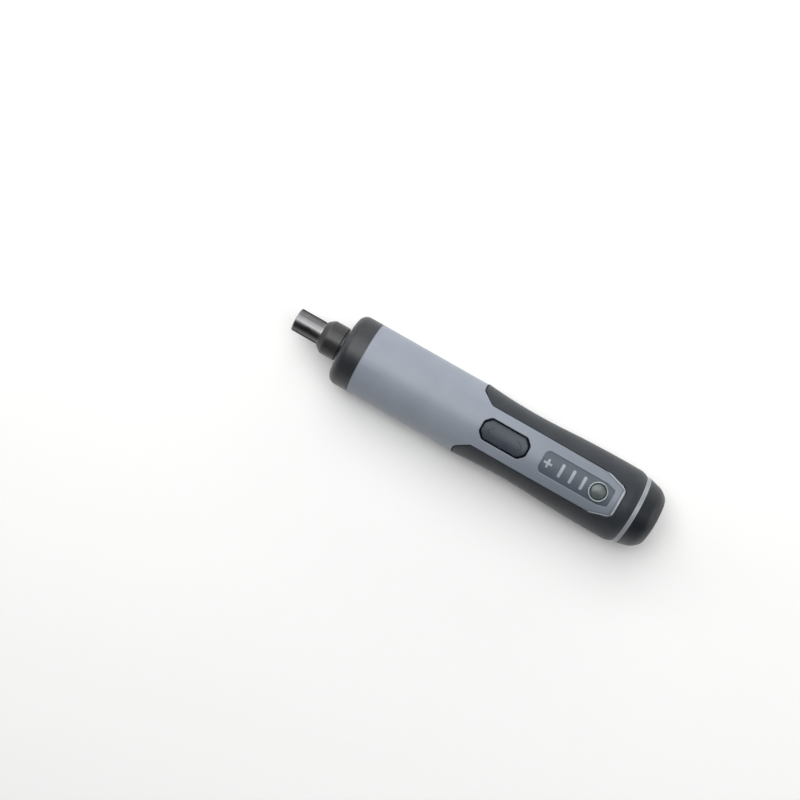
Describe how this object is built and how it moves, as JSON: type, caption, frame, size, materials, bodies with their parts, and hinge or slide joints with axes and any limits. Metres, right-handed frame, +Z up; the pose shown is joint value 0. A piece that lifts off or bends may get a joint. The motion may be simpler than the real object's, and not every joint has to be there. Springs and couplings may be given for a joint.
{
  "type": "cordless screwdriver",
  "caption": "Straight cordless screwdriver with a hex bit socket, planetary gearbox and motor in a grey barrel, and a rubber grip with a rocker switch, light bars and a charging port.",
  "frame": {"origin": "middle of the bit socket's mouth, on the spindle's axis", "axes": "+X along the spindle and out of the bit socket; +Z up through the rocker switch; the tool lies on the flat along its back, which faces -Z"},
  "size_m": [0.1986, 0.038, 0.037],
  "materials": {
    "shell_grey": "fine moulded texture, cool light grey",
    "trim_black": "fine moulded texture, charcoal",
    "rocker_black": "satin moulded, charcoal",
    "grip_rubber": "soft-touch, charcoal",
    "ring_grey": "satin, pale grey",
    "nose_grey": "dark anodised die casting",
    "sleeve_steel": "turned, nickel plated",
    "spindle_steel": "ground",
    "screw_steel": "zinc plated",
    "pin_steel": "ground",
    "magnet_plate": "nickel plated",
    "sintered_bronze": "oil-filled sintered",
    "sintered_steel": "sintered and tempered",
    "gear_nylon": "natural nylon",
    "case_nylon": "glass-filled nylon",
    "can_steel": "drawn, zinc plated",
    "bell_nylon": "moulded nylon",
    "ferrite": "sintered ferrite",
    "copper": "enamelled copper",
    "terminal_brass": "stamped brass",
    "brush_carbon": "carbon",
    "laminated_iron": "laminated",
    "lead_red": "insulated wire",
    "lead_black": "insulated wire",
    "panel_gloss": "smooth, tinted",
    "light_white": "translucent",
    "bezel_chrome": "polished plating",
    "mode_gloss": "polished",
    "board_black": "black solder mask",
    "switch_black": "moulded",
    "lamp_white": "moulded",
    "cell_jacket": "shrink-wrapped can",
    "tab_nickel": "nickel strip",
    "port_steel": "plated shell"
  },
  "bodies": {
    "housing": {"gearbox_nose": "nose_grey", "spindle_bush": "sintered_bronze", "gear_case": "case_nylon", "stage_washer": "screw_steel", "motor_plate": "screw_steel", "motor_screws": "screw_steel", "motor_can": "can_steel", "motor_end_bell": "bell_nylon", "motor_terminals": "terminal_brass", "motor_magnets": "ferrite", "motor_bushes": "sintered_bronze", "motor_brushes": "brush_carbon", "motor_lead_red": "lead_red", "motor_lead_black": "lead_black", "upper_shell": "shell_grey", "lower_shell": "shell_grey", "shell_screws": "screw_steel", "front_collar": "trim_black", "grip_sleeve": "grip_rubber", "tail_ring": "ring_grey", "tail_cap": "trim_black", "rocker_pin": "pin_steel", "indicator_panel": "panel_gloss", "light_guide": "light_white", "mode_bezel": "bezel_chrome", "main_board": "board_black", "board_screws": "screw_steel", "tact_switches": "switch_black", "indicator_leds": "lamp_white", "battery_cell": "cell_jacket", "cell_tabs": "tab_nickel", "charge_board": "board_black", "usb_receptacle": "port_steel", "port_frame": "trim_black"},
    "spindle": {"spindle": "spindle_steel", "bit_sleeve": "sleeve_steel", "bit_magnet": "magnet_plate", "spindle_clip": "screw_steel", "output_carrier": "sintered_steel", "output_planet_pins": "pin_steel"},
    "input_carrier": {"input_carrier": "sintered_steel", "input_planet_pins": "pin_steel"},
    "rotor": {"motor_shaft": "pin_steel", "motor_pinion": "terminal_brass", "armature_core": "laminated_iron", "armature_coils": "copper", "commutator": "copper"},
    "rocker": {"rocker_button": "rocker_black"},
    "mode_button": {"mode_button": "mode_gloss"},
    "output_planet_a": {"output_planet_a": "sintered_steel"},
    "input_planet_a": {"input_planet_a": "gear_nylon"},
    "output_planet_b": {"output_planet_b": "sintered_steel"},
    "input_planet_b": {"input_planet_b": "gear_nylon"},
    "output_planet_c": {"output_planet_c": "sintered_steel"},
    "input_planet_c": {"input_planet_c": "gear_nylon"}
  },
  "joints": [
    {"name": "motor_spin", "type": "hinge", "parent": "housing", "child": "rotor", "pos_m": [-0.0688, 0, 0], "axis": [1, 0, 0], "continuous": true},
    {"name": "input_carrier_spin", "type": "hinge", "parent": "housing", "child": "input_carrier", "pos_m": [-0.0448, 0, 0], "axis": [1, 0, 0], "continuous": true},
    {"name": "spindle_spin", "type": "hinge", "parent": "housing", "child": "spindle", "pos_m": [0, 0, 0], "axis": [1, 0, 0], "continuous": true},
    {"name": "input_planet_a_spin", "type": "hinge", "parent": "input_carrier", "child": "input_planet_a", "pos_m": [-0.0487, 0.00675, 0], "axis": [1, 0, 0], "continuous": true},
    {"name": "output_planet_a_spin", "type": "hinge", "parent": "spindle", "child": "output_planet_a", "pos_m": [-0.0393, 0.00675, 0], "axis": [1, 0, 0], "continuous": true},
    {"name": "input_planet_b_spin", "type": "hinge", "parent": "input_carrier", "child": "input_planet_b", "pos_m": [-0.0487, -0.00337, 0.00585], "axis": [1, 0, 0], "continuous": true},
    {"name": "output_planet_b_spin", "type": "hinge", "parent": "spindle", "child": "output_planet_b", "pos_m": [-0.0393, -0.00337, 0.00585], "axis": [1, 0, 0], "continuous": true},
    {"name": "input_planet_c_spin", "type": "hinge", "parent": "input_carrier", "child": "input_planet_c", "pos_m": [-0.0487, -0.00337, -0.00585], "axis": [1, 0, 0], "continuous": true},
    {"name": "output_planet_c_spin", "type": "hinge", "parent": "spindle", "child": "output_planet_c", "pos_m": [-0.0393, -0.00337, -0.00585], "axis": [1, 0, 0], "continuous": true},
    {"name": "rocker_tilt", "type": "hinge", "parent": "housing", "child": "rocker", "pos_m": [-0.1162, 0, 0.0152], "axis": [0, 1, 0], "range_deg": [-2.5, 2.5], "stiffness_Nm_per_rad": 0.5},
    {"name": "mode_press", "type": "slide", "parent": "housing", "child": "mode_button", "axis": [0, 0, -1], "range_m": [0, 0.0005], "stiffness_N_per_m": 4000}
  ],
  "couplings": [
    {"joint": "input_carrier_spin", "follows": "motor_spin", "ratio": 0.16667},
    {"joint": "spindle_spin", "follows": "motor_spin", "ratio": 0.027778},
    {"joint": "input_planet_a_spin", "follows": "motor_spin", "ratio": -0.41667},
    {"joint": "output_planet_a_spin", "follows": "motor_spin", "ratio": -0.069444},
    {"joint": "input_planet_b_spin", "follows": "motor_spin", "ratio": -0.41667},
    {"joint": "output_planet_b_spin", "follows": "motor_spin", "ratio": -0.069444},
    {"joint": "input_planet_c_spin", "follows": "motor_spin", "ratio": -0.41667},
    {"joint": "output_planet_c_spin", "follows": "motor_spin", "ratio": -0.069444}
  ]
}
